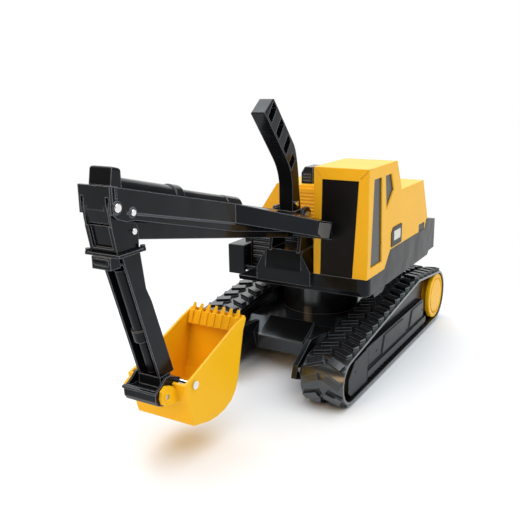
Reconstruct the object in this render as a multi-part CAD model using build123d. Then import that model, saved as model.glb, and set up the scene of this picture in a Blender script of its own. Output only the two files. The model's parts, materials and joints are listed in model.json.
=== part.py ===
from build123d import *
import os
from math import atan2, cos, degrees, hypot, pi, sin

# Toy excavator worked by a hand lever. Millimetres, +Z up, +X towards the bucket, +Y the cab's side.
# The model is drawn about the slew axis (x = 0, y = 0, ground at z = 0) and each node is moved by
# ORIGIN_X on export, so that the origin is the middle of the resting object's bounding box.

# ---- driving dimensions ----
TRACK_OUT = 115.0          # outer edge of each track from the middle
TRACK_IN = 65.0            # inner edge of each track
FRONT_WHEEL = (161.0, 30.0)
REAR_WHEEL = (-150.0, 40.0)
HUMP = (-65.0, 63.0)       # centre of the rounded hump that carries the top run
FRONT_LOOP = 30.0          # radius of the track's outside around each centre
REAR_LOOP = 40.0
HUMP_LOOP = 27.0
CLEAT = 4.0                # cleat height
BELT = 3.0                 # belt thickness
CLEAT_PITCH = 19.0
CLEAT_WIDE = 8.6
CLEAT_SKEW = 24.0          # degrees that each half of a chevron leans
WHEEL_GAP = 0.5            # wheel to belt
AXLE = 3.0                 # axle radius
COVER_IN = 104.0           # inner face of the side covers
HULL_HALF = 59.0           # half the width of the hull between the tracks
RING_HOLE = 30.0           # bore of both slew rings
BOLT = 6.0                 # radius of the slew bolt

DECK_HALF = 105.5
DECK_FRONT = 102.0
DECK_REAR = -154.0
DECK_BOTTOM = 106.0
DECK_SILL = 127.5
DECK_WALL = 147.0
DECK_TAIL = 156.0
RING_GAP = 0.4             # between the fixed and the turning slew ring

CAB_IN = 38.5
CAB_TOP = 253.0
CAB_ROOF_REAR = 13.0
HOOD_TOP = 216.0
HOOD_FRONT = 13.0
SHEET = 2.5                # wall of the yellow body

BOOM_PIVOT = (85.6, 190.6)
STICK_PIVOT = (407.0, 255.0)
LINK_REAR = (66.0, 168.0)
LINK_FRONT = (387.4, 232.4)
BUCKET_PIVOT = (364.5, 77.0)
CROSS_BAR = (338.2, 80.6)
CAP_RIVET = (389.0, 248.3)
BOOM_HALF = 16.6           # outside of the boom's side walls
BOOM_WALL = 2.0
EAR_OUT = 14.2             # stick ears run inside the boom walls
EAR_IN = 12.2
LINK_HALF = 11.8           # push link runs inside the stick ears
LEVER_HALF = 8.0
STICK_HALF = 12.4
STICK_WALL = 2.2
FOOT_HALF = 18.2
FOOT_WELL = 16.0
EAR_REACH = 22.2           # outer face of the bucket's ears
RAM_INSET = 6.4            # axis of the stick's ram behind its front face
BUCKET_HALF = 33.0
BUCKET_WALL = 2.5
BOOM_PIN = 4.0             # radius of the boom's pivot pin
PIN = 2.5                  # radius of the linkage pins and the bucket's pin
CROSS_PIN = 2.2
PIN_FIT = 0.06             # radial running clearance
REACH = 414.0              # front of the boom's end cap
TAIL = REAR_WHEEL[0] - REAR_LOOP
ORIGIN_X = -(REACH + TAIL) / 2
BOOM_END = REACH - 2.5     # front of the boom behind its end cap
RIVET = 2.0                # radius of the end cap's rivets


# ---- helpers ----
def block(x0, x1, y0, y1, z0, z1):
    return Pos((x0 + x1) / 2, (y0 + y1) / 2, (z0 + z1) / 2) * Box(x1 - x0, y1 - y0, z1 - z0)


def side_plane(y):
    # Drawn points are (x, z); extruding goes towards -Y.
    return Plane(origin=(0, y, 0), x_dir=(1, 0, 0), z_dir=(0, -1, 0))


def slab(points, y0, y1):
    # A plate with an outline of (x, z) points between two y values.
    face = side_plane(y1) * make_face(Polyline(*points, close=True))
    return extrude(face, amount=y1 - y0)


def soft_slab(points, y0, y1, radius):
    plate = slab(points, y0, y1)
    return fillet(plate.edges().filter_by(Axis.Y), radius)


def plan(points, z0, z1):
    face = Plane.XY.offset(z0) * make_face(Polyline(*points, close=True))
    return extrude(face, amount=z1 - z0)


def front_panel(outline, x0, x1):
    # A plate with an outline of (y, z) points between two x values.
    across = Plane(origin=(x0, 0, 0), x_dir=(0, 1, 0), z_dir=(1, 0, 0))
    face = across * make_face(Polyline(*outline, close=True))
    return extrude(face, amount=x1 - x0)


def rod(centre, radius, y0, y1):
    return Pos(centre[0], (y0 + y1) / 2, centre[1]) * Rot(90, 0, 0) * Cylinder(radius, y1 - y0)


def upright(x, y, radius, z0, z1):
    return Pos(x, y, (z0 + z1) / 2) * Cylinder(radius, z1 - z0)


def mirrored(part):
    return mirror(part, about=Plane.XZ)


def group(solids):
    # Separate solids in one node.
    return solids[0] + solids[1:]


def both(part):
    return group([part, mirrored(part)])


def bar(start, end, half_width, y0, y1):
    # A round-ended bar between two pivots, seen from the side.
    length = hypot(end[0] - start[0], end[1] - start[1])
    angle = degrees(atan2(end[1] - start[1], end[0] - start[0]))
    middle = ((start[0] + end[0]) / 2, (start[1] + end[1]) / 2)
    slot = SlotCenterToCenter(length, 2 * half_width)
    sketch = side_plane(y1) * Pos(*middle) * Rot(0, 0, angle) * slot
    return extrude(sketch, amount=y1 - y0)


def spread(count, start, end):
    return [start + (end - start) * i / (count - 1) for i in range(count)]


parts = {}


def keep(name, part):
    parts[name] = part


# ---- track loop: a belt around three circles ----
def tangent(one, two):
    # Outer tangent points of two circles (x, z, r), on the side left of the way from one to two.
    dx, dz = two[0] - one[0], two[1] - one[1]
    length = hypot(dx, dz)
    # The normal leans so that it meets both circles at a right angle to the line.
    lean = (one[2] - two[2]) / length
    along = (dx / length, dz / length)
    side = (-along[1], along[0])
    rise = (1 - lean * lean) ** 0.5
    normal = (along[0] * lean + side[0] * rise, along[1] * lean + side[1] * rise)
    first = (one[0] + normal[0] * one[2], one[1] + normal[1] * one[2])
    second = (two[0] + normal[0] * two[2], two[1] + normal[1] * two[2])
    return first, second, normal


def loop_circles(depth):
    # Circles of the loop, clockwise seen with +X right, at a depth below the cleat tops.
    return [
        (REAR_WHEEL[0], REAR_WHEEL[1], REAR_LOOP - depth),
        (HUMP[0], HUMP[1], HUMP_LOOP - depth),
        (FRONT_WHEEL[0], FRONT_WHEEL[1], FRONT_LOOP - depth),
    ]


def loop_runs(depth):
    circles = loop_circles(depth)
    return [tangent(circles[i], circles[(i + 1) % 3]) for i in range(3)]


def loop_solid(depth, y0, y1):
    circles = loop_circles(depth)
    runs = loop_runs(depth)
    edges = []
    for i in range(3):
        start, end, normal = runs[i]
        following = runs[(i + 1) % 3]
        centre = circles[(i + 1) % 3]
        mid_x = normal[0] + following[2][0]
        mid_z = normal[1] + following[2][1]
        size = hypot(mid_x, mid_z)
        bulge = (centre[0] + mid_x / size * centre[2], centre[1] + mid_z / size * centre[2])
        edges.append(Line(start, end))
        edges.append(ThreePointArc(end, bulge, following[0]))
    face = side_plane(y1) * make_face(edges)
    return extrude(face, amount=y1 - y0)


def loop_stations(pitch):
    # Evenly spaced places on the belt's outside, each with the angle of the outward normal.
    circles = loop_circles(CLEAT)
    runs = loop_runs(CLEAT)
    spans = []
    for i in range(3):
        start, end, normal = runs[i]
        following = runs[(i + 1) % 3]
        centre = circles[(i + 1) % 3]
        lean = atan2(normal[1], normal[0])
        turn = (lean - atan2(following[2][1], following[2][0])) % (2 * pi)
        spans.append(("run", hypot(end[0] - start[0], end[1] - start[1]), start, end, lean))
        spans.append(("arc", turn * centre[2], centre, turn, lean))
    total = sum(span[1] for span in spans)
    count = round(total / pitch)
    stations = []
    for i in range(count):
        way = (i + 0.5) * total / count
        for kind, length, first, second, lean in spans:
            if way <= length:
                break
            way -= length
        if kind == "run":
            share = way / length
            x = first[0] + (second[0] - first[0]) * share
            z = first[1] + (second[1] - first[1]) * share
            stations.append((x, z, lean))
        else:
            angle = lean - second * way / length
            stations.append((first[0] + first[2] * cos(angle), first[1] + first[2] * sin(angle), angle))
    return stations


def cleat(x, z, lean, y0, y1, skew):
    # One bar of a chevron, across half the belt, standing out along the normal.
    tall = CLEAT + 1.0
    pad = Box(CLEAT_WIDE, y1 - y0, tall)
    place = Pos(x, (y0 + y1) / 2, z) * Rot(0, 90 - degrees(lean), 0)
    return place * Pos(0, 0, tall / 2 - 1.0) * Rot(0, 0, skew) * pad


def track_belt():
    band = loop_solid(CLEAT, TRACK_IN, TRACK_OUT) - loop_solid(CLEAT + BELT, TRACK_IN - 1, TRACK_OUT + 1)
    middle = (TRACK_IN + TRACK_OUT) / 2
    pads = []
    for x, z, lean in loop_stations(CLEAT_PITCH):
        pads.append(cleat(x, z, lean, TRACK_IN + 3.0, middle - 3.0, CLEAT_SKEW))
        pads.append(cleat(x, z, lean, middle + 3.0, TRACK_OUT - 3.0, -CLEAT_SKEW))
    belt = band + pads
    # The ground cuts the skewed pads level.
    return belt - block(-300, 300, 60, 120, -10, 0)


def track_frame():
    body = loop_solid(CLEAT + BELT + 0.8, TRACK_IN - 1, 104)
    body = body & block(-112, 134, TRACK_IN - 1, 104, 0, 100)
    # Moulded hollow, open towards the hull.
    core = loop_solid(CLEAT + BELT + 4.5, TRACK_IN - 2, 100) & block(-108, 130, TRACK_IN - 2, 100, 0, 100)
    return body - core


COVER_SCREWS = [(75, 109.5), (-95, 110.7), (146, 112.0)]     # (x, the outer face there)


def side_cover():
    main = slab([(-105, 21), (112, 21), (112, 48), (-100, 48), (-105, 43)], COVER_IN, 109.5)
    front_outline = [(110, 8.2), (157, 9.5), (164, 16), (164, 31), (147, 47), (110, 49.5)]
    front = soft_slab(front_outline, COVER_IN, 112, 1.5)
    # The front wheel turns behind the cover.
    panel = slab([(58, 24), (50, 45), (-18, 45), (-28, 24)], 109.5, 110.7)
    rear_panel = slab([(-44, 24), (-54, 45), (-98, 45), (-98, 24)], 109.5, 110.7)
    rail = block(-108, 110, COVER_IN, 112.5, 13, 21)
    teeth = [block(x, x + 4, COVER_IN, 111, 8.5, 13) for x in spread(22, -106, 104)]
    slots = [block(100, 107, 109, 112, z, z + 1.4) for z in spread(6, 26, 43)]
    cover = main + front + panel + rear_panel + rail + teeth
    holes = [rod((x, 34), 1.6, 100, 120) for x, face in COVER_SCREWS]
    return cover - slots - holes


def cover_screws():
    screws = []
    for x, face in COVER_SCREWS:
        screws.append(rod((x, 34), 1.5, 104.2, face - 1.0))
    return screws


def inner_plate():
    plate = bar((REAR_WHEEL[0], 36), (FRONT_WHEEL[0], 30), 13.0, 59, 64)
    return plate - rod(REAR_WHEEL, AXLE, 50, 70) - rod(FRONT_WHEEL, AXLE, 50, 70)


def rear_wheel():
    radius = REAR_LOOP - CLEAT - BELT - WHEEL_GAP
    drum = rod(REAR_WHEEL, radius, 65.5, 95)
    drum = fillet(drum.edges().filter_by(GeomType.CIRCLE), 1.5)
    neck = rod(REAR_WHEEL, 24, 95, 107)
    return drum + neck - rod(REAR_WHEEL, AXLE + PIN_FIT, 60, 110)


def rear_wheel_disc():
    radius = REAR_LOOP - CLEAT - BELT - WHEEL_GAP
    disc = rod(REAR_WHEEL, radius, 107, 113.5)
    disc = fillet(disc.edges().filter_by(GeomType.CIRCLE), 1.5)
    dish = rod(REAR_WHEEL, radius - 6, 112.3, 115)
    crown = fillet(rod(REAR_WHEEL, radius - 8, 112.3, 113.9).edges().sort_by(Axis.Y)[-1], 1.2)
    return disc - dish + crown - rod(REAR_WHEEL, AXLE + PIN_FIT, 106, 110.5)


def front_wheel():
    radius = FRONT_LOOP - CLEAT - BELT - WHEEL_GAP
    drum = rod(FRONT_WHEEL, radius, 65.5, 103.3)
    drum = fillet(drum.edges().filter_by(GeomType.CIRCLE), 1.5)
    groove = rod(FRONT_WHEEL, radius + 1, 80, 90) - rod(FRONT_WHEEL, 17, 79, 91)
    return drum - groove - rod(FRONT_WHEEL, AXLE + PIN_FIT, 60, 110)


for side, turn in (("left", lambda p: p), ("right", mirrored)):
    keep("track_belt_" + side, turn(track_belt()))
    keep("track_frame_" + side, turn(track_frame()))
    keep("side_cover_" + side, turn(side_cover()))
    keep("rear_wheel_" + side, turn(rear_wheel()))
    keep("rear_wheel_disc_" + side, turn(rear_wheel_disc()))
    keep("front_wheel_" + side, turn(front_wheel()))
keep("cover_screws", group(cover_screws() + [mirrored(screw) for screw in cover_screws()]))
keep("inner_plates", both(inner_plate()))
keep("rear_axle", rod(REAR_WHEEL, AXLE, -109.8, 109.8))
keep("front_axle", both(rod(FRONT_WHEEL, AXLE, 42.5, 103.8)))


def axle_caps():
    rings = [rod(centre, 8.0, 54.5, 59.0) - rod(centre, AXLE, 50, 70) for centre in (REAR_WHEEL, FRONT_WHEEL)]
    return group(rings + [mirrored(ring) for ring in rings])


keep("axle_caps", axle_caps())


# ---- hull and slew ring ----
def chassis_hull():
    outline = [(98, 19), (104, 40), (84, 56), (-92, 56), (-118, 42), (-118, 24), (-110, 16), (94, 16)]
    body = slab(outline, -HULL_HALF, HULL_HALF)
    nose = slab([(90, 24), (113, 24), (116, 43), (84, 59), (80, 30)], -31, 31)
    nose = fillet(nose.edges().filter_by(Axis.Y).filter_by(lambda e: e.center().X > 110), 2.0)
    arm = slab([(90, 52), (131, 56), (165, 36), (170, 22), (152, 14), (90, 18)], 44, 50)
    seat = upright(0, 0, 50, 52, 94)
    body = body + nose + seat + arm + mirrored(arm)
    body = body - upright(0, 0, 44, 30, 88) - block(-100, 80, -50, 50, 10, 42)
    body = body - rod(FRONT_WHEEL, AXLE, -80, 80)
    return body - upright(0, 0, BOLT + PIN_FIT, 20, 120)


keep("chassis_hull", chassis_hull())
keep("belly_plate", block(-99.7, 79.7, -49.7, 49.7, 16, 18.5))
keep("belly_screws", group([upright(x, y, 3.0, 14.5, 16) for x in (-92, 72) for y in (-42, 42)]))
keep("slew_ring_lower", upright(0, 0, 54, 94, 99.6) - upright(0, 0, RING_HOLE, 90, 110))
keep("slew_ring_upper", upright(0, 0, 58, 99.6 + RING_GAP, DECK_BOTTOM) - upright(0, 0, RING_HOLE, 90, 110))


def slew_bolt():
    shank = upright(0, 0, BOLT, 81.0, 114.0)
    head = upright(0, 0, 8.5, 112.0, 116.0)
    nut = upright(0, 0, 11.0, 82.0, 87.7)
    return shank + head + nut


# ---- deck ----
def deck_tray():
    left_edge = [
        (DECK_FRONT - 2, DECK_BOTTOM), (DECK_FRONT, DECK_BOTTOM + 6), (DECK_FRONT, DECK_SILL), (46, DECK_SILL),
        (28, DECK_WALL), (-80, DECK_WALL), (-106, DECK_WALL), (-112, DECK_TAIL + 3), (-120, DECK_TAIL + 3),
        (DECK_REAR, DECK_TAIL - 3), (DECK_REAR, DECK_BOTTOM + 5), (-131, DECK_BOTTOM + 5), (-125, DECK_BOTTOM),
    ]
    hull = slab(left_edge, -DECK_HALF, DECK_HALF)
    hollow = block(DECK_REAR + 4, DECK_FRONT + 5, -DECK_HALF + 4, DECK_HALF - 4, 112, 200)
    tray = hull - hollow
    # The sill under the cab door and window.
    sill = block(DECK_FRONT - 6, DECK_FRONT, CAB_IN - 2, DECK_HALF - 2, 112, DECK_SILL)
    tray = tray + sill
    # Right of the cab the wall stops behind the box.
    tray = tray - block(64, 140, -120, CAB_IN - 2, 112, 200)
    tray = tray - block(60, 140, -120, -66, 100, 200)
    corner = block(90, 110, 93.5, 110, 100, 130) - upright(90, 93.5, 12, 100, 130)
    tray = tray - corner
    # The wall makes way for the box beside the boom.
    tray = tray - block(20, 140, -120, -80.5, 112, 200)
    return tray - upright(0, 0, BOLT, 90, 130)


keep("deck_tray", deck_tray())
keep("deck_latch", block(-105, -81, 101.5, 104.8, DECK_WALL, DECK_TAIL + 1))
keep("deck_step", soft_slab([(38, 101.5), (44, 98), (70, 98), (76, 106), (38, 106)], 90, 103, 0.8))
keep("deck_screws", group([upright(x, y, 3.0, 104.5, 106) for x in (-110, 66) for y in (-60, 60)]))


def right_box():
    outer = block(20, 64, -DECK_HALF, -81, 112, 139.5) + block(60, 64, -DECK_HALF, -81, 100, 112)
    rounded = outer.edges().filter_by(lambda e: e.center().X > 63.9)
    rounded = rounded + outer.edges().filter_by(Axis.X).filter_by(lambda e: e.center().Z > 139)
    return fillet(rounded, 1.5) - block(23, 61, -DECK_HALF + 3, -84, 111, 136.5)


def boom_mount():
    foot = slab([(60, 112), (107, 112), (107, 128), (103, 152), (60, 152)], -24, 24)
    flare = front_panel([(24, 112), (24, 150), (36.3, 128), (36.3, 112)], 90, 107)
    cheek_outline = [(68, 150), (104, 150), (99, 172), (97.5, 194), (91, 202), (80, 202), (74, 196), (73, 180)]
    cheek = slab(cheek_outline, 17.1, 21.1)
    bulkhead = block(44, 47, -80.5, 38.0, 112, 166)
    louvres = [block(47, 48.2, -76, 34, z, z + 2.6) for z in spread(7, 122, 158)]
    tie = block(44, 62, -24, 24, 112, 115)
    tower = foot + flare + mirrored(flare) + cheek + mirrored(cheek) + bulkhead + louvres + tie
    tower = tower - block(64, 100, -20, 20, 108, 147)
    return tower - rod(BOOM_PIVOT, BOOM_PIN, -60, 60)


keep("boom_mount", boom_mount())


def boom_pivot_pin():
    shank = rod(BOOM_PIVOT, BOOM_PIN, -21.1, 21.1)
    heads = rod(BOOM_PIVOT, 6.5, 21.1, 23.6) + rod(BOOM_PIVOT, 6.5, -23.6, -21.1)
    return shank + heads


keep("boom_pivot_pin", boom_pivot_pin())
keep("slew_bolt", slew_bolt())


# ---- yellow body ----
def body_form(inset, base, sill):
    # Cab, left engine cover and right hood, with every side moved in by inset.
    front = DECK_FRONT - inset
    roof = CAB_TOP - inset
    top = HOOD_TOP - inset
    half = DECK_HALF - inset
    cab_side = [
        (front, sill), (front, roof), (CAB_ROOF_REAR + inset, roof), (inset - 6, top), (-30, top),
        (-30, base), (46, base), (46, sill),
    ]
    hood_side = [
        (HOOD_FRONT - inset, base), (HOOD_FRONT - inset, top), (inset - 92, top), (inset - 120, DECK_TAIL),
        (inset - 140, base),
    ]
    slope = Plane(origin=(0, inset - 59, HOOD_TOP), x_dir=(1, 0, 0), z_dir=(0, -0.83, 0.56))
    hood = split(slab(hood_side, -half, half), bisect_by=slope, keep=Keep.BOTTOM)
    return slab(cab_side, CAB_IN + inset, half) + hood


def body_outside():
    return body_form(0, 112.0, DECK_SILL)


def body_hollow():
    # Runs on below the body, so that the body is open underneath.
    return body_form(SHEET, 107.0, 108.0)


def front_window_outline(grow):
    top = 239.4 + grow
    return [(48.6 - grow, top), (93.4 + grow, top), (87.4 + grow, DECK_SILL), (46.6 - grow, DECK_SILL)]


SIDE_WINDOW_FRONT = [(86.5, 240), (62.9, 240), (56.5, 139), (92.5, 139)]
SIDE_WINDOW_REAR = [(51.5, 240), (31.0, 240), (22.0, 220), (45.5, 198)]


def body_shell():
    shell = body_outside() - body_hollow()
    # Below the sill the body stands inside the deck's walls.
    shell = shell - block(-200, 120, DECK_HALF - 4.3, DECK_HALF + 1, 100, DECK_SILL)
    left_wall = [
        (46.8, DECK_SILL), (28.6, DECK_WALL + 0.4), (-106.3, DECK_WALL + 0.4), (-112.5, DECK_TAIL + 3.5),
        (-200, DECK_TAIL + 3.5), (-200, 100), (46.8, 100),
    ]
    shell = shell - slab(left_wall, DECK_HALF - 4.3, DECK_HALF + 1)
    shell = shell - block(-200, 20, -DECK_HALF - 1, -DECK_HALF + 4.3, 100, DECK_TAIL + 4)
    shell = shell - front_panel(front_window_outline(0), 90, 110)
    shell = shell - slab(SIDE_WINDOW_FRONT, 100, 110) - slab(SIDE_WINDOW_REAR, 100, 110)
    shell = shell - block(-105.3, -80.7, 100, 107, DECK_WALL, DECK_TAIL + 1.3)
    for outer, inner in ((38.0, 47.6), (106.0, 94.4)):
        # Mitre grooves from the roof corners to the window corners.
        groove = [(outer, 253.6), (outer + 0.9, 253.0), (inner + 0.9, 240.6), (inner, 241.2)]
        shell = shell - front_panel(groove, DECK_FRONT - 0.8, DECK_FRONT + 1)
    return shell


keep("body_shell", body_shell())


def tail_weight():
    # Fills the tray behind the hood.
    fill = block(DECK_REAR + 4, -112, 4 - DECK_HALF, DECK_HALF - 4, 112, DECK_TAIL - 3)
    return fill - body_outside()


keep("tail_weight", tail_weight())


def front_window():
    pane = front_panel(front_window_outline(0), DECK_FRONT - SHEET, DECK_FRONT - 1.2)
    # A flange behind the opening holds the pane.
    return pane + front_panel(front_window_outline(2.5), DECK_FRONT - SHEET - 1.4, DECK_FRONT - SHEET)


def side_window(outline):
    return slab(outline, DECK_HALF - SHEET - 1.6, DECK_HALF - SHEET + 0.8)


keep("front_window", front_window())
keep("side_window_front", side_window(SIDE_WINDOW_FRONT))
keep("side_window_rear", side_window(SIDE_WINDOW_REAR))


def hood_grille():
    plate = block(HOOD_FRONT, HOOD_FRONT + 2.5, -52, 30, 172, 212)
    slots = [block(HOOD_FRONT + 1.2, HOOD_FRONT + 3, -48, 26, z, z + 2.2) for z in spread(7, 176, 204)]
    return plate - slots


keep("hood_grille", hood_grille())


def air_cleaner():
    body = front_panel([(-28.5, HOOD_TOP), (-28.5, 230), (-23.5, 238), (-12.5, 238), (-12.5, HOOD_TOP)], -24, 2)
    vents = [block(1.2, 3, -26, -15, z, z + 1.6) for z in (220, 224, 228)]
    return body - vents


keep("air_cleaner", air_cleaner())
keep("label_plate", soft_slab([(27, 149.5), (27, 168), (21, 173.5), (-10, 173.5), (-10, 149.5)],
                              DECK_HALF, DECK_HALF + 0.8, 2.0))
keep("right_box", right_box())


# ---- boom ----
def boom_top(x):
    # Height of the boom's upper edge.
    return 272.5 + (x - 412.0) * 0.2375


def boom_channel():
    outline = [
        (BOOM_END, 250), (BOOM_END, boom_top(BOOM_END)), (110, boom_top(110)), (98, 200.5), (80, 200.5),
        (74, 194), (74, 187), (80, 181), (110, 177), (237, 202.5), (386, 241.2), (397, 242.0), (407, 245.6),
    ]
    hollow_outline = [
        (420, 200), (420, boom_top(420) - BOOM_WALL), (112, boom_top(112) - BOOM_WALL), (104, 225), (60, 225),
        (60, 150), (110, 150),
    ]
    lip_outline = [
        (237, boom_top(237) - 19.5), (396, boom_top(396) - 19), (396, boom_top(396) - 20.4),
        (237, boom_top(237) - 21),
    ]
    inner = BOOM_HALF - BOOM_WALL
    channel = slab(outline, -BOOM_HALF, BOOM_HALF) - slab(hollow_outline, -inner, inner)
    lip = slab(lip_outline, BOOM_HALF, BOOM_HALF + 0.8)
    channel = channel + lip + mirrored(lip)
    channel = channel - rod(BOOM_PIVOT, BOOM_PIN + PIN_FIT, -40, 40) - rod(STICK_PIVOT, PIN, -40, 40)
    boss = rod(CAP_RIVET, 4.4, BOOM_HALF, BOOM_HALF + 0.8) + rod(STICK_PIVOT, 5.4, BOOM_HALF, BOOM_HALF + 0.8)
    channel = channel + boss + mirrored(boss)
    recess = rod(CAP_RIVET, 3.1, BOOM_HALF, BOOM_HALF + 2) + rod(STICK_PIVOT, 4.0, BOOM_HALF, BOOM_HALF + 2)
    return channel - rod(CAP_RIVET, RIVET, -40, 40) - recess - mirrored(recess)


keep("boom_channel", boom_channel())


def wing_form(inset, root):
    # The flare beside the boom's rear half, with a sloping top; inset moves its sides in.
    rear, side = 110 + inset, 65 - inset
    outline = [(rear, root), (236 - 3 * inset, root), (146 - inset * 0.9, side), (rear, side)]
    crest = Plane(
        origin=(231, BOOM_HALF, boom_top(231) - inset), x_dir=(1, 0, 0.2375), z_dir=(-0.2309, 0.155, 0.9605)
    )
    return split(plan(outline, 150, 240), bisect_by=crest, keep=Keep.BOTTOM)


def boom_wing():
    below = slab([(105, 170), (118, 175), (148, 184), (231, 209.5), (240, 212), (240, 140), (105, 140)], 10, 70)
    return wing_form(0, BOOM_HALF) - below - wing_form(2.5, BOOM_HALF - 1)


keep("boom_wings", both(boom_wing()))


def boom_end_cap():
    top = boom_top(BOOM_END)
    face = block(BOOM_END, REACH, -BOOM_HALF, BOOM_HALF, 264, top + 0.6)
    edge = [(BOOM_END, top), (BOOM_END, top + 0.6), (404, boom_top(404) + 0.6), (404, boom_top(404))]
    face = face + slab(edge, -BOOM_HALF, BOOM_HALF)
    # Below the face a lug covers the end of each side wall, outside the stick's ears.
    lug = block(BOOM_END, REACH, BOOM_HALF - BOOM_WALL, BOOM_HALF, 250, 264)
    chin_outline = [
        (400.5, 243), (405, 241.8), (410, 241.8), (REACH, 257), (REACH, 266), (BOOM_END, 266), (400.5, 262),
    ]
    chin = slab(chin_outline, -11.8, 11.8)
    bulge = fillet(rod((REACH - 4.6, 258.5), 4.6, -9, 9).edges().filter_by(GeomType.CIRCLE), 2.0)
    # A flange stands proud round the end of the boom.
    rim = block(BOOM_END - 5, BOOM_END - 2.5, BOOM_HALF, BOOM_HALF + 1.0, 262, top - 0.5)
    crest = [(407, top - 1.5), (404, 287), (394.3, 284.5), (394.3, boom_top(394.3) - 0.5)]
    boom_below = slab([(390, 200), (BOOM_END, 200), (BOOM_END, top), (390, boom_top(390))], -14, 14)
    lobe = slab(crest, -11.5, 11.5) - boom_below
    lobe = fillet(lobe.edges().filter_by(lambda e: e.center().Z > 283), 2.6)
    cap = face + lug + mirrored(lug) + chin + bulge + lobe + rim + mirrored(rim)
    return cap - rod(STICK_PIVOT, PIN, -40, 40)


keep("boom_end_cap", boom_end_cap())


def sloped_barrel(x0, x1, radius, lift):
    # A round bar lying along the boom's top, cut level with it.
    start = Vector(x0, 0, boom_top(x0) + lift)
    end = Vector(x1, 0, boom_top(x1) + lift)
    place = Plane(origin=start, z_dir=end - start)
    body = extrude(place * Circle(radius), amount=(end - start).length)
    rear, front = x0 - 30, x1 + 30
    below = slab([(rear, boom_top(rear)), (front, boom_top(front)), (front, 150), (rear, 150)], -40, 40)
    return body - below


keep("boom_cylinder", sloped_barrel(322, 394, 11.0, -2.0) + sloped_barrel(312, 323, 12.2, -2.0))
keep("boom_cylinder_rod", sloped_barrel(236, 311.8, 9.0, -2.0) + sloped_barrel(212, 237, 10.5, -3.0))


def headed_pin(centre, radius, reach, head, thick):
    shank = rod(centre, radius, -reach, reach)
    caps = rod(centre, head, reach, reach + thick) + rod(centre, head, -reach - thick, -reach)
    outer_edges = caps.edges().filter_by(lambda e: abs(e.center().Y) > reach + thick - 0.1)
    return shank + fillet(outer_edges.filter_by(GeomType.CIRCLE), 0.8)


keep("stick_pivot_pin", headed_pin(STICK_PIVOT, PIN, BOOM_HALF, 3.8, 2.0))
# The rivets stop short of the hollow between the boom's walls.
keep("cap_rivets", headed_pin(CAP_RIVET, RIVET, BOOM_HALF, 2.9, 2.0) - rod(CAP_RIVET, 3.0, -14.6, 14.6))


# ---- lever and push link ----
GRIP_HALF = 9.0
GRIP_WEB = 1.2             # half the web that is left between the pockets of the two sides
# Each pocket: x and z of its middle, its length across the grip, degrees that it leans.
GRIP_POCKETS = [(143.4, 315.0, 20, 49), (126.9, 296.0, 20, 49), (110.9, 277.0, 19, 49), (99.0, 256.8, 14, 58)]


def pocket_cut(length):
    # A slanted slot, drawn upright about the origin.
    half = length / 2
    return slab([(-7.5, -half), (3.5, -half), (7.5, half), (-3.5, half)], -15, 15)


def control_lever():
    front = Spline((98, 224), (101.5, 243), (113.5, 262), tangents=[(0, 1), (0.654, 0.757)])
    rear = Spline((95.5, 277.5), (86.5, 256), (82, 226), tangents=[(-0.654, -0.757), (0, -1)])
    foot = Polyline((82, 226), (77, 196), (98, 196), (98, 224))
    head = Polyline((113.5, 262), (160.5, 314.8), (141, 329.3), (95.5, 277.5))
    edges = [*foot.edges(), front, *head.edges(), rear]
    grip = extrude(side_plane(GRIP_HALF) * make_face(edges), amount=2 * GRIP_HALF)
    grip = fillet(grip.edges().filter_by(lambda e: e.center().Z > 314), 1.2)
    hub = rod(BOOM_PIVOT, 10.0, -LEVER_HALF, LEVER_HALF)
    arm = bar(BOOM_PIVOT, LINK_REAR, 6.0, -LEVER_HALF, LEVER_HALF)
    lever = grip + hub + arm
    web = block(0, 300, -GRIP_WEB, GRIP_WEB, 150, 400)
    for x, z, length, lean in GRIP_POCKETS:
        lever = lever - (Pos(x, 0, z) * Rot(0, -lean, 0) * pocket_cut(length) - web)
    lever = lever - rod(BOOM_PIVOT, BOOM_PIN + PIN_FIT, -20, 20)
    return lever - rod(LINK_REAR, PIN + PIN_FIT, -20, 20)


keep("control_lever", control_lever())
keep("lever_screw", rod((91, 206.5), 3.2, 9.0, 12.0) - block(87, 95, 11.2, 13, 206, 207))


def push_link():
    link = bar(LINK_REAR, LINK_FRONT, 7.0, -LINK_HALF, LINK_HALF)
    # The rear end forks round the lever's arm.
    gap = bar(LINK_REAR, (LINK_REAR[0] + 46, LINK_REAR[1] + 9.2), 11.0, -LEVER_HALF - 0.4, LEVER_HALF + 0.4)
    # The middle is hollow, with a web along it.
    core = bar((150, 184.9), (355, 225.9), 5.0, -9.5, 9.5)
    web = bar((150, 184.9), (355, 225.9), 5.0, -1.0, 1.0)
    link = link - gap - core + web
    return link - rod(LINK_REAR, PIN, -20, 20) - rod(LINK_FRONT, PIN, -20, 20)


keep("push_link", push_link())
keep("link_rear_pin", headed_pin(LINK_REAR, PIN, LINK_HALF, 4.2, 1.6))
keep("link_front_pin", headed_pin(LINK_FRONT, PIN, 14.6, 2.9, 2.4))


# ---- stick ----
def stick_front(z):
    # Front face of the leaning stick at a height.
    return 362.0 + (z - 94.4) * 0.3125


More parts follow.
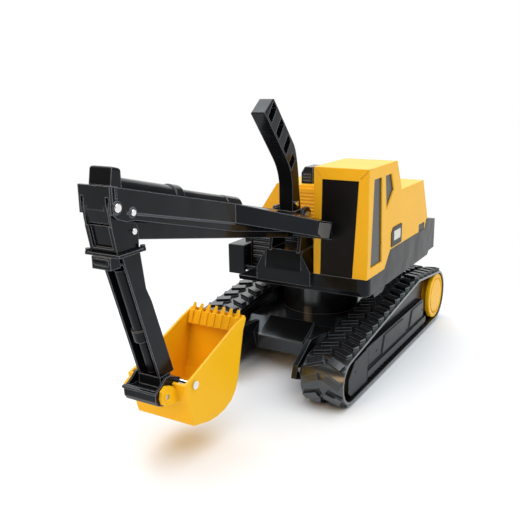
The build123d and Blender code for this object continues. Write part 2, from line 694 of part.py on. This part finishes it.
def stick_arm():
    head_outline = [
        (401.2, 258), (413.4, 254), (412.5, 245), (409.5, 228), (407, 216), (381, 216), (380.5, 224), (380, 233),
        (384, 239.5), (392, 240), (398, 250),
    ]
    head = slab(head_outline, -EAR_OUT, EAR_OUT) + rod(STICK_PIVOT, 6.4, -EAR_OUT, EAR_OUT)
    head = head - block(370, 420, -EAR_IN, EAR_IN, 220.5, 270)
    # A brow frames the front of the head round a sunk panel; the push link's end turns behind it.
    brow = slab([(407.5, 240), (412, 240), (407, 216), (402.5, 216)], -EAR_OUT, EAR_OUT)
    half = EAR_IN - 1.5
    brow = brow - block(395, 415, -half, half, 221, 250)
    pocket = block(399.5, 415, -half, half, 221, 250)
    body_outline = [(379, 220), (402, 220), (stick_front(92), 92), (340.6, 92), (366.3, 166.3), (372.8, 179.5)]
    body = slab(body_outline, -STICK_HALF, STICK_HALF)
    trough_outline = [(378.5, 205), (412, 205), (380, 86), (343.2, 86), (368.3, 165.5), (374.9, 179)]
    trough = slab(trough_outline, STICK_WALL - STICK_HALF, STICK_HALF - STICK_WALL)
    panel = slab([(407.5, 240), (409, 240), (405.04, 221), (403.54, 221)], -half, half)
    arm = head + brow + (body - trough) - pocket + panel
    return arm - rod(STICK_PIVOT, PIN + PIN_FIT, -20, 20) - rod(LINK_FRONT, PIN + PIN_FIT, -20, 20)


keep("stick_arm", stick_arm())


def stick_collar():
    outer = plan([(377, -18.4), (377, 18.4), (410, 18.4), (410, -18.4)], 214.5, 217.0)
    knob = upright(408, -16.6, 2.2, 214.5, 219.5) + upright(379, 16.6, 2.2, 214.5, 219.5)
    lower = plan([(400, -10), (400, 10), (411.5, 10), (411.5, -10)], 204, 214.5)
    bulge = fillet(rod((410.5, 210), 3.0, -8, 8).edges().filter_by(GeomType.CIRCLE), 1.4)
    core = slab([(380, 203), (399, 203), (404, 222), (382, 222)], 0.4 - STICK_HALF, STICK_HALF - 0.4)
    return outer + knob + lower + bulge - core - stick_arm()


def stick_axis_bar(z0, z1, radius):
    # A round bar in the stick's trough, along it.
    start = Vector(stick_front(z0) - RAM_INSET, 0, z0)
    end = Vector(stick_front(z1) - RAM_INSET, 0, z1)
    place = Plane(origin=start, z_dir=end - start)
    return extrude(place * Circle(radius), amount=(end - start).length)


keep("stick_collar", stick_collar())
keep("stick_cylinder", stick_axis_bar(138, 200, 6.4) + stick_axis_bar(130, 141, 8.0))
keep("stick_rod", stick_axis_bar(96, 130, 5.0))


def stick_foot():
    side = [
        (375.8, 83), (375.8, 75), (373, 70.5), (366, 67.5), (357, 68), (351, 72), (346, 79), (339.5, 83.4),
        (339.5, 86), (354, 92.5), (360, 92.5), (366, 88),
    ]
    well = [(372.8, 100), (372.8, 84), (366, 82), (352, 82), (346, 92), (343, 100)]
    rim = slab([(374, 82.4), (377.4, 82.4), (377.4, 84.6), (374, 84.6)], -FOOT_HALF - 0.8, FOOT_HALF + 0.8)
    web = block(346, 361, -STICK_HALF, STICK_HALF, 80, 92)
    foot = slab(side, -FOOT_HALF, FOOT_HALF) - slab(well, -FOOT_WELL, FOOT_WELL) + rim + web
    # The stick's lower end stands in the foot.
    foot = foot - block(330, 380, -STICK_HALF, STICK_HALF, 92, 100)
    return foot - rod(BUCKET_PIVOT, PIN, -30, 30)


keep("stick_foot", stick_foot())
keep("bucket_pivot_pin", rod(BUCKET_PIVOT, PIN, -EAR_REACH, EAR_REACH))


# ---- bucket ----
BUCKET_TIP = (248, 119.5)
BUCKET_RIM = [(352.7, 84.6), (342.3, 87.0), (266, 114.5), BUCKET_TIP, (246.1, 115.5)]
BUCKET_WRAP = [(252, 105), (263, 59), (268.5, 47), (277, 38.5), (289, 34.2), (303, 32.8), (316, 33.7), (341, 40.2)]


def bucket_shell():
    inner = [
        (349.9, 84), (349, 140), (240, 170), (248.8, 116.0), (254.6, 105.4), (265.6, 60), (270.8, 49),
        (278.5, 41), (289.6, 37), (303, 35.6), (315.6, 36.5), (338.9, 42.5),
    ]
    half = BUCKET_HALF - BUCKET_WALL
    shell = slab(BUCKET_RIM + BUCKET_WRAP, -BUCKET_HALF, BUCKET_HALF) - slab(inner, -half, half)
    # The back is cut away between the ears, where the stick's foot stands.
    shell = shell - slab([(356, 90), (356, 66.8), (340, 66.8), (340, 90)], -18.6, 18.6)
    ear_outline = [
        (346.5, 72), (345.2, 66), (350, 66), (362, 68), (370, 71), (372, 77), (370.5, 84), (364.5, 87),
        (357, 84.5), (349.6, 78),
    ]
    ear = slab(ear_outline, 18.6, EAR_REACH) + rod(BUCKET_PIVOT, 4.6, EAR_REACH, EAR_REACH + 0.8)
    shell = shell + ear + mirrored(ear)
    shell = shell - rod(BUCKET_PIVOT, PIN + PIN_FIT, -30, 30)
    return shell - rod(CROSS_BAR, CROSS_PIN, -40, 40)


keep("bucket_shell", bucket_shell())


def tooth_bar():
    # Seven teeth on a strip inside the front lip.
    half = BUCKET_HALF - BUCKET_WALL
    strip = slab([(257.6, 104.0), (252.0, 117.6), (254.5, 118.5), (260.4, 105.0)], -half, half)
    teeth = []
    for y in spread(7, -BUCKET_HALF + 6.2, BUCKET_HALF - 6.2):
        base = Plane(origin=(254.6, y, 112.5), z_dir=(-0.39, 0, 0.92))
        tooth = loft([base * Rectangle(4.4, 6.4), base.offset(13.5) * Rectangle(1.4, 2.2)])
        teeth.append(tooth)
    return strip + teeth


keep("tooth_bar", tooth_bar())
keep("bucket_cross_bar", rod(CROSS_BAR, CROSS_PIN, -BUCKET_HALF, BUCKET_HALF))
keep("cross_bar_caps", both(rod(CROSS_BAR, 4.0, BUCKET_HALF, BUCKET_HALF + 2.2)))

os.makedirs("parts", exist_ok=True)
for name, part in parts.items():
    moved = [Pos(ORIGIN_X, 0, 0) * solid for solid in part.solids()]
    export_step(moved[0] if len(moved) == 1 else Compound(children=moved), "parts/" + name + ".step")
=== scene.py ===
"""Toy excavator worked by a hand lever: materials, small details, floor, light and camera."""
import json
import math

import bmesh
import bpy
from mathutils import Matrix, Vector


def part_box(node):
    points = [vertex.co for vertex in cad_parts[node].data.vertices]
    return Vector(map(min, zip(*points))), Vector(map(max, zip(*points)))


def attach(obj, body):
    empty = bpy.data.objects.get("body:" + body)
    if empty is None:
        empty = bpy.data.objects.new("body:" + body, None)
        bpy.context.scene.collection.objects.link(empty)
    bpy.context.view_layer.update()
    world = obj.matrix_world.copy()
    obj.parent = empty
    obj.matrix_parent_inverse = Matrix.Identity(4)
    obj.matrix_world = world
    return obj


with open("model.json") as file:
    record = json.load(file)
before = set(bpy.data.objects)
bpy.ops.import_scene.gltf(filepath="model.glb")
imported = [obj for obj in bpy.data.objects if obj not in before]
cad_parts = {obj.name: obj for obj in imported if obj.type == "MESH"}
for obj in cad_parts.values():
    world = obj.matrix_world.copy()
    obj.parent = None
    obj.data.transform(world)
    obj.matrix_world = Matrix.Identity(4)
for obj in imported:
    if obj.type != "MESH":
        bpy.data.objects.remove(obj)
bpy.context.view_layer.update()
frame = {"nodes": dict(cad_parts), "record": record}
nodes = frame["nodes"]
scene = bpy.context.scene


# ---- materials ----
DRIFT_STOPS = (0.3, 0.7)  # where on the noise the darker and the lighter colour sit
DRIFT_SCALE = 14.0  # slow change of colour over the surface
WEAR_SCALE = 65.0  # patches that are smoother or rougher
SWELL_SCALE, SWELL_STRENGTH = 24.0, 0.5  # shallow unevenness of large moulded faces
GRAIN_STRENGTH = 0.35
METAL_GRAIN, METAL_STRENGTH, METAL_DEPTH = 900.0, 0.2, 0.0001
HIGHLIGHT_STARTS, HIGHLIGHT_FULL = 0.985, 0.88  # cosine between the flat and the rounded normal where the painted edge highlight starts and where it is full
EDGE_SAMPLES = 6
COAT_ROUGHNESS = 0.08


def new_material(name):
    material = bpy.data.materials.new(name)
    material.use_nodes = True
    tree = material.node_tree
    shader = tree.nodes["Principled BSDF"]
    return material, tree, shader


def link(tree, source, target):
    tree.links.new(source, target)


def noise(tree, coords, scale, detail=3.0, rough=0.5):
    node = tree.nodes.new("ShaderNodeTexNoise")
    node.inputs["Scale"].default_value = scale
    node.inputs["Detail"].default_value = detail
    node.inputs["Roughness"].default_value = rough
    link(tree, coords, node.inputs["Vector"])
    return node.outputs["Fac"]


def ramp(tree, source, stops):
    node = tree.nodes.new("ShaderNodeValToRGB")
    elements = node.color_ramp.elements
    for element, (place, colour) in zip(elements, stops):
        element.position = place
        element.color = (*colour, 1.0)
    link(tree, source, node.inputs["Fac"])
    return node.outputs["Color"]


def span(tree, source, low, high):
    node = tree.nodes.new("ShaderNodeMapRange")
    node.inputs["To Min"].default_value = low
    node.inputs["To Max"].default_value = high
    link(tree, source, node.inputs["Value"])
    return node.outputs["Result"]


def bump(tree, height, strength, distance, normal=None):
    """Tilts the given normal, or the surface's own, by a height texture."""
    node = tree.nodes.new("ShaderNodeBump")
    node.inputs["Strength"].default_value = strength
    node.inputs["Distance"].default_value = distance
    link(tree, height, node.inputs["Height"])
    if normal:
        link(tree, normal, node.inputs["Normal"])
    return node.outputs["Normal"]


def moulded(name, dark, light, roughness, grain, grain_depth, bevel=0.0007, coat=0.0,
            specular=0.5, edge_highlight=None, gloss_tint=(1.0, 1.0, 1.0), wave=0.0):
    """Moulded plastic: the colour drifts, the surface has a fine grain, edges are rounded.

    bevel is the radius of that rounding, grain_depth and wave are depths of relief, all in
    metres. The edge colour is a highlight painted along the edges.
    """
    material, tree, shader = new_material(name)
    coords = tree.nodes.new("ShaderNodeTexCoord").outputs["Object"]
    round_edge = tree.nodes.new("ShaderNodeBevel")
    round_edge.samples = EDGE_SAMPLES
    round_edge.inputs["Radius"].default_value = bevel
    normal = round_edge.outputs["Normal"]
    drift = noise(tree, coords, DRIFT_SCALE, 4.0, 0.6)
    colour = ramp(tree, drift, zip(DRIFT_STOPS, (dark, light)))
    # Painted highlight along the edges, in the given edge colour.
    if edge_highlight:
        colour = paint_edge_highlight(tree, colour, normal, edge_highlight)
    link(tree, colour, shader.inputs["Base Color"])
    wear = noise(tree, coords, WEAR_SCALE, 5.0, 0.65)
    link(tree, span(tree, wear, *roughness), shader.inputs["Roughness"])
    if wave:
        swell = noise(tree, coords, SWELL_SCALE, 1.0)
        normal = bump(tree, swell, SWELL_STRENGTH, wave, normal)
    fine = noise(tree, coords, grain, 2.0)
    normal = bump(tree, fine, GRAIN_STRENGTH, grain_depth, normal)
    link(tree, normal, shader.inputs["Normal"])
    shader.inputs["Coat Weight"].default_value = coat
    shader.inputs["Coat Roughness"].default_value = COAT_ROUGHNESS
    shader.inputs["Specular IOR Level"].default_value = specular
    shader.inputs["Specular Tint"].default_value = (*gloss_tint, 1.0)
    return material


def paint_edge_highlight(tree, colour, round_normal, edge_highlight):
    """Painted highlight: a lighter colour where the rounded normal leaves the flat one, which is
    along the edges.
    """
    flat = tree.nodes.new("ShaderNodeNewGeometry").outputs["True Normal"]
    same = tree.nodes.new("ShaderNodeVectorMath")
    same.operation = "DOT_PRODUCT"
    link(tree, round_normal, same.inputs[0])
    link(tree, flat, same.inputs[1])
    edge = tree.nodes.new("ShaderNodeMapRange")
    edge.inputs["From Min"].default_value = HIGHLIGHT_STARTS
    edge.inputs["From Max"].default_value = HIGHLIGHT_FULL
    link(tree, same.outputs["Value"], edge.inputs["Value"])
    mixer = tree.nodes.new("ShaderNodeMix")
    mixer.data_type = "RGBA"
    mixer.inputs["B"].default_value = (*edge_highlight, 1.0)
    link(tree, edge.outputs["Result"], mixer.inputs["Factor"])
    link(tree, colour, mixer.inputs["A"])
    return mixer.outputs["Result"]


def metal(name, dark, light, roughness, scale):
    """Bare metal: colour and roughness drift together, under a very fine grain."""
    material, tree, shader = new_material(name)
    coords = tree.nodes.new("ShaderNodeTexCoord").outputs["Object"]
    drift = noise(tree, coords, scale, 5.0, 0.6)
    colour = ramp(tree, drift, zip(DRIFT_STOPS, (dark, light)))
    link(tree, colour, shader.inputs["Base Color"])
    link(tree, span(tree, drift, *roughness), shader.inputs["Roughness"])
    shader.inputs["Metallic"].default_value = 1.0
    fine = noise(tree, coords, METAL_GRAIN, 2.0)
    normal = bump(tree, fine, METAL_STRENGTH, METAL_DEPTH)
    link(tree, normal, shader.inputs["Normal"])
    return material


COOL = (0.80, 0.92, 1.0)  # the black plastic's gloss is bluish
FRAME_DARK, FRAME_LIGHT = (0.004, 0.0045, 0.0055), (0.009, 0.0095, 0.011)
# Colour of the highlight painted along the black frame's edges.
FRAME_EDGE_HIGHLIGHT = (0.115, 0.122, 0.135)

# The edge colours below are highlights painted along each material's edges.
yellow_body = moulded(
    "yellow_body", (0.85, 0.438, 0.010), (0.90, 0.476, 0.013), (0.32, 0.40),
    900.0, 0.00010, bevel=0.0016, specular=0.22, edge_highlight=(0.97, 0.58, 0.05))
yellow_gloss = moulded(
    "yellow_gloss", (0.885, 0.466, 0.006), (0.915, 0.484, 0.008), (0.26, 0.31),
    700.0, 0.00008, bevel=0.0008, specular=0.10, edge_highlight=(0.97, 0.60, 0.06))
black_gloss = moulded(
    "black_gloss", (0.0035, 0.004, 0.005), (0.007, 0.0075, 0.009), (0.10, 0.22),
    800.0, 0.00005, bevel=0.0014, specular=0.17, edge_highlight=(0.19, 0.205, 0.23),
    gloss_tint=COOL, wave=0.003)
black_frame = moulded(
    "black_frame", FRAME_DARK, FRAME_LIGHT, (0.20, 0.32),
    700.0, 0.00008, bevel=0.0012, specular=0.20, edge_highlight=FRAME_EDGE_HIGHLIGHT, gloss_tint=COOL)
hull_gloss = moulded(
    "hull_gloss", FRAME_DARK, FRAME_LIGHT, (0.16, 0.24),
    700.0, 0.00006, bevel=0.0012, specular=0.75, edge_highlight=FRAME_EDGE_HIGHLIGHT, gloss_tint=COOL)
track_rubber = moulded(
    "track_rubber", (0.005, 0.005, 0.006), (0.011, 0.0115, 0.013), (0.16, 0.28),
    1100.0, 0.00015, bevel=0.0009, coat=0.55, specular=0.9, edge_highlight=(0.076, 0.08, 0.09),
    gloss_tint=COOL)
window_black = moulded(
    "window_black", (0.003, 0.003, 0.0035), (0.006, 0.006, 0.0065), (0.28, 0.38),
    300.0, 0.00005, bevel=0.0005, specular=0.15)
window_side = moulded(
    "window_side", (0.010, 0.009, 0.009), (0.014, 0.0125, 0.0125), (0.24, 0.32),
    300.0, 0.00005, bevel=0.0005, specular=0.6)
label_black = moulded(
    "label", (0.006, 0.006, 0.007), (0.010, 0.010, 0.011), (0.25, 0.35),
    500.0, 0.00005, specular=0.2, edge_highlight=(0.05, 0.05, 0.05))
label_blank = moulded(
    "label_blank", (0.62, 0.60, 0.56), (0.72, 0.70, 0.66), (0.30, 0.45),
    500.0, 0.00004)
wing_end_painted_reflection = moulded(
    "wing_end", (0.10, 0.10, 0.102), (0.125, 0.125, 0.128), (0.30, 0.42),
    600.0, 0.00006, bevel=0.0010, specular=0.3, edge_highlight=(0.20, 0.20, 0.21))
chrome_pin = metal("chrome_pin", (0.72, 0.72, 0.73), (0.86, 0.86, 0.87), (0.10, 0.22), 90.0)
steel = metal("steel", (0.42, 0.42, 0.43), (0.58, 0.58, 0.60), (0.25, 0.42), 160.0)

by_slot = {
    "yellow_body": yellow_body, "yellow_gloss": yellow_gloss, "black_gloss": black_gloss,
    "black_frame": black_frame, "track_rubber": track_rubber, "window_black": window_black,
    "label": label_black, "chrome_pin": chrome_pin, "steel": steel,
}
# The side windows and the hull between the tracks shine more than the rest of their slots.
by_node = {
    "side_window_front": window_side, "side_window_rear": window_side,
    "chassis_hull": hull_gloss,
}
for part in frame["record"]["subparts"]:
    node = nodes[part["node"]]
    node.data.materials.clear()
    look = by_node.get(part["node"], by_slot[part["material_slot"]])
    node.data.materials.append(look)


# ---- small pieces ----
SLAB_EDGE_STEPS = 3


def slab_piece(name, outline, y, depth, body, material, soften):
    """A plate with rounded edges, from an (x, z) outline at y to the same outline at y + depth."""
    mesh = bpy.data.meshes.new(name)
    shape = bmesh.new()
    rim = [shape.verts.new((x, y, z)) for x, z in outline]
    face = shape.faces.new(rim)
    grown = bmesh.ops.extrude_face_region(shape, geom=[face])
    moved = [item for item in grown["geom"] if isinstance(item, bmesh.types.BMVert)]
    bmesh.ops.translate(shape, vec=(0.0, depth, 0.0), verts=moved)
    bmesh.ops.recalc_face_normals(shape, faces=shape.faces)
    shape.to_mesh(mesh)
    shape.free()
    piece = bpy.data.objects.new(name, mesh)
    scene.collection.objects.link(piece)
    piece.data.materials.append(material)
    edge = piece.modifiers.new("edge", "BEVEL")
    edge.width = soften
    edge.segments = SLAB_EDGE_STEPS
    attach(piece, body)


def rounded_box(x0, x1, z0, z1, radius, steps=5):
    """Outline of a rectangle with round corners."""
    points = []
    for cx, cz, start in ((x1 - radius, z1 - radius, 0), (x0 + radius, z1 - radius, 90),
                          (x0 + radius, z0 + radius, 180), (x1 - radius, z0 + radius, 270)):
        for i in range(steps + 1):
            angle = math.radians(start + 90 * i / steps)
            points.append((cx + radius * math.cos(angle), cz + radius * math.sin(angle)))
    return points


# A blank panel where the label is, inside the plate's own frame.
REAR_RIM, FRONT_RIM, LOWER_RIM, UPPER_RIM = 0.006, 0.008, 0.007, 0.005
PANEL_CORNER = 0.0015
PANEL_SUNK, PANEL_THICK = 0.0002, 0.0006
low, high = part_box("label_plate")
panel = rounded_box(low.x + REAR_RIM, high.x - FRONT_RIM,
                    low.z + LOWER_RIM, high.z - UPPER_RIM, PANEL_CORNER)
slab_piece("label_blank_panel", panel, high.y - PANEL_SUNK, PANEL_THICK,
           "superstructure", label_blank, 0.0002)

# Grey ends of the boom's two flared wings: a painted reflection of the front light.
WING_END = [
    (0.0305, 0.1985), (0.0042, 0.1925), (0.0005, 0.1895),
    (0.0060, 0.1765), (0.0225, 0.1795), (0.0345, 0.1868),
]
WING_FACE, WING_THICK = 0.0648, 0.0008
slab_piece("wing_end_left", WING_END, WING_FACE, WING_THICK,
           "boom", wing_end_painted_reflection, 0.0003)
slab_piece("wing_end_right", WING_END, -WING_FACE, -WING_THICK,
           "boom", wing_end_painted_reflection, 0.0003)

# The moulded lip across the boom's end cap, inside the CAD model's box.
CAP_LIP = [
    (0.2995, 0.2590), (0.3019, 0.2585), (0.3019, 0.2538), (0.3013, 0.2526), (0.2995, 0.2520),
]
LIP_HALF = 0.0092
slab_piece("cap_lip", CAP_LIP, -LIP_HALF, 2 * LIP_HALF,
           "boom", black_gloss, 0.0004)

# Each bucket tooth goes on down the inner face of its strip as a rib.
RIB = [(0.1482, 0.1052), (0.1497, 0.1058), (0.1440, 0.1192), (0.1424, 0.1186)]
RIB_WIDE = 0.0050
TOOTH_SPAN = 0.0536
TEETH = 7
for i in range(TEETH):
    middle = TOOTH_SPAN * (i / (TEETH - 1) - 0.5)
    slab_piece("tooth_rib_%d" % i, RIB, middle - RIB_WIDE / 2, RIB_WIDE,
               "bucket", yellow_gloss, 0.0007)

# ---- camera ----
# Place, direction and focal length as solved from the photograph's perspective.
YAW, DROP, ROLL = math.radians(210.551), math.radians(14.861), math.radians(-0.874)
EYE = (0.69825, 0.38362, 0.35298)
SENSOR, LENS = 36.0, 48.015  # millimetres

ahead = Vector((math.cos(YAW) * math.cos(DROP), math.sin(YAW) * math.cos(DROP), -math.sin(DROP)))
level = Vector((math.sin(YAW), -math.cos(YAW), 0.0))
upward = level.cross(ahead)
right = math.cos(ROLL) * level + math.sin(ROLL) * upward
top = -math.sin(ROLL) * level + math.cos(ROLL) * upward
camera_data = bpy.data.cameras.new("camera")
camera_data.sensor_width = SENSOR
camera_data.lens = LENS
camera = bpy.data.objects.new("camera", camera_data)
scene.collection.objects.link(camera)
turn = Matrix((right, top, -ahead)).transposed().to_4x4()
camera.matrix_world = Matrix.Translation(EYE) @ turn
scene.camera = camera

# ---- floor and light ----
FLOOR_HALF = 8.0
FLOOR_DROP = 0.0002  # keeps the floor from touching the tracks
FLOOR_COLOUR = (0.84, 0.88, 0.93, 1.0)
FADE_STARTS, FADE_ENDS = 0.24, 0.58  # distance from the middle of the object

floor_data = bpy.data.meshes.new("floor")
corners = [(x * FLOOR_HALF, y * FLOOR_HALF, 0) for x, y in ((-1, -1), (1, -1), (1, 1), (-1, 1))]
floor_data.from_pydata(corners, [], [(0, 1, 2, 3)])
floor = bpy.data.objects.new("floor", floor_data)
scene.collection.objects.link(floor)
floor.location.z = -FLOOR_DROP
floor_material, floor_tree, floor_shader = new_material("floor")
floor_shader.inputs["Base Color"].default_value = FLOOR_COLOUR
floor_shader.inputs["Roughness"].default_value = 0.6
floor_shader.inputs["Specular IOR Level"].default_value = 0.15
# Away from the object the floor turns evenly white.
glow = floor_tree.nodes.new("ShaderNodeEmission")
spot = floor_tree.nodes.new("ShaderNodeVectorMath")
spot.operation = "LENGTH"
floor_coords = floor_tree.nodes.new("ShaderNodeTexCoord").outputs["Object"]
link(floor_tree, floor_coords, spot.inputs[0])
fade = floor_tree.nodes.new("ShaderNodeMapRange")
fade.interpolation_type = "SMOOTHSTEP"
fade.inputs["From Min"].default_value = FADE_STARTS
fade.inputs["From Max"].default_value = FADE_ENDS
link(floor_tree, spot.outputs["Value"], fade.inputs["Value"])
sweep = floor_tree.nodes.new("ShaderNodeMixShader")
link(floor_tree, fade.outputs["Result"], sweep.inputs["Fac"])
link(floor_tree, floor_shader.outputs["BSDF"], sweep.inputs[1])
link(floor_tree, glow.outputs["Emission"], sweep.inputs[2])
link(floor_tree, sweep.outputs["Shader"], floor_tree.nodes["Material Output"].inputs["Surface"])
floor_data.materials.append(floor_material)

# The camera sees a white room, while the object is lit by a dimmer one.
WHITE = (1.0, 1.0, 1.0, 1.0)
SEEN, ROOM_LIGHT = 1.0, 0.28
world = bpy.data.worlds.new("studio")
world.use_nodes = True
sky = world.node_tree
seen = sky.nodes["Background"]
seen.inputs["Color"].default_value = WHITE
seen.inputs["Strength"].default_value = SEEN
room = sky.nodes.new("ShaderNodeBackground")
room.inputs["Color"].default_value = WHITE
room.inputs["Strength"].default_value = ROOM_LIGHT
path = sky.nodes.new("ShaderNodeLightPath")
mix = sky.nodes.new("ShaderNodeMixShader")
link(sky, path.outputs["Is Camera Ray"], mix.inputs["Fac"])
link(sky, room.outputs["Background"], mix.inputs[1])
link(sky, seen.outputs["Background"], mix.inputs[2])
link(sky, mix.outputs["Shader"], sky.nodes["World Output"].inputs["Surface"])
scene.world = world


def softbox(name, place, aim, size, power, tint=(1.0, 1.0, 1.0)):
    """A rectangular studio light: place, aim and size in metres, power in watts."""
    data = bpy.data.lights.new(name, "AREA")
    data.shape = "RECTANGLE"
    data.size, data.size_y = size
    data.energy = power
    data.color = tint
    lamp = bpy.data.objects.new(name, data)
    scene.collection.objects.link(lamp)
    lamp.location = place
    lamp.rotation_mode = "QUATERNION"
    lamp.rotation_quaternion = (Vector(aim) - Vector(place)).to_track_quat("-Z", "Y")


# The front of the object is lit warm and its left side very slightly green, as in the photograph.
WARM = (1.0, 0.62, 0.34)
LEMON = (0.93, 1.0, 0.88)
softbox("overhead", (0.05, 0.1, 2.1), (0.0, 0.0, 0.1), (3.4, 3.4), 75.0)
softbox("backdrop", (-2.4, -1.3, 1.2), (0.0, 0.0, 0.2), (2.6, 1.6), 14.0)
softbox("streak", (-0.6, -1.1, 1.8), (-0.02, 0.0, 0.08), (0.8, 1.1), 11.0)
softbox("cab_side", (-0.3, 1.9, 0.9), (-0.1, 0.0, 0.12), (1.2, 0.9), 8.5, LEMON)
softbox("front", (1.9, -0.5, 0.9), (0.1, 0.0, 0.12), (0.9, 0.9), 13.0, WARM)
scene.view_settings.view_transform = "Standard"
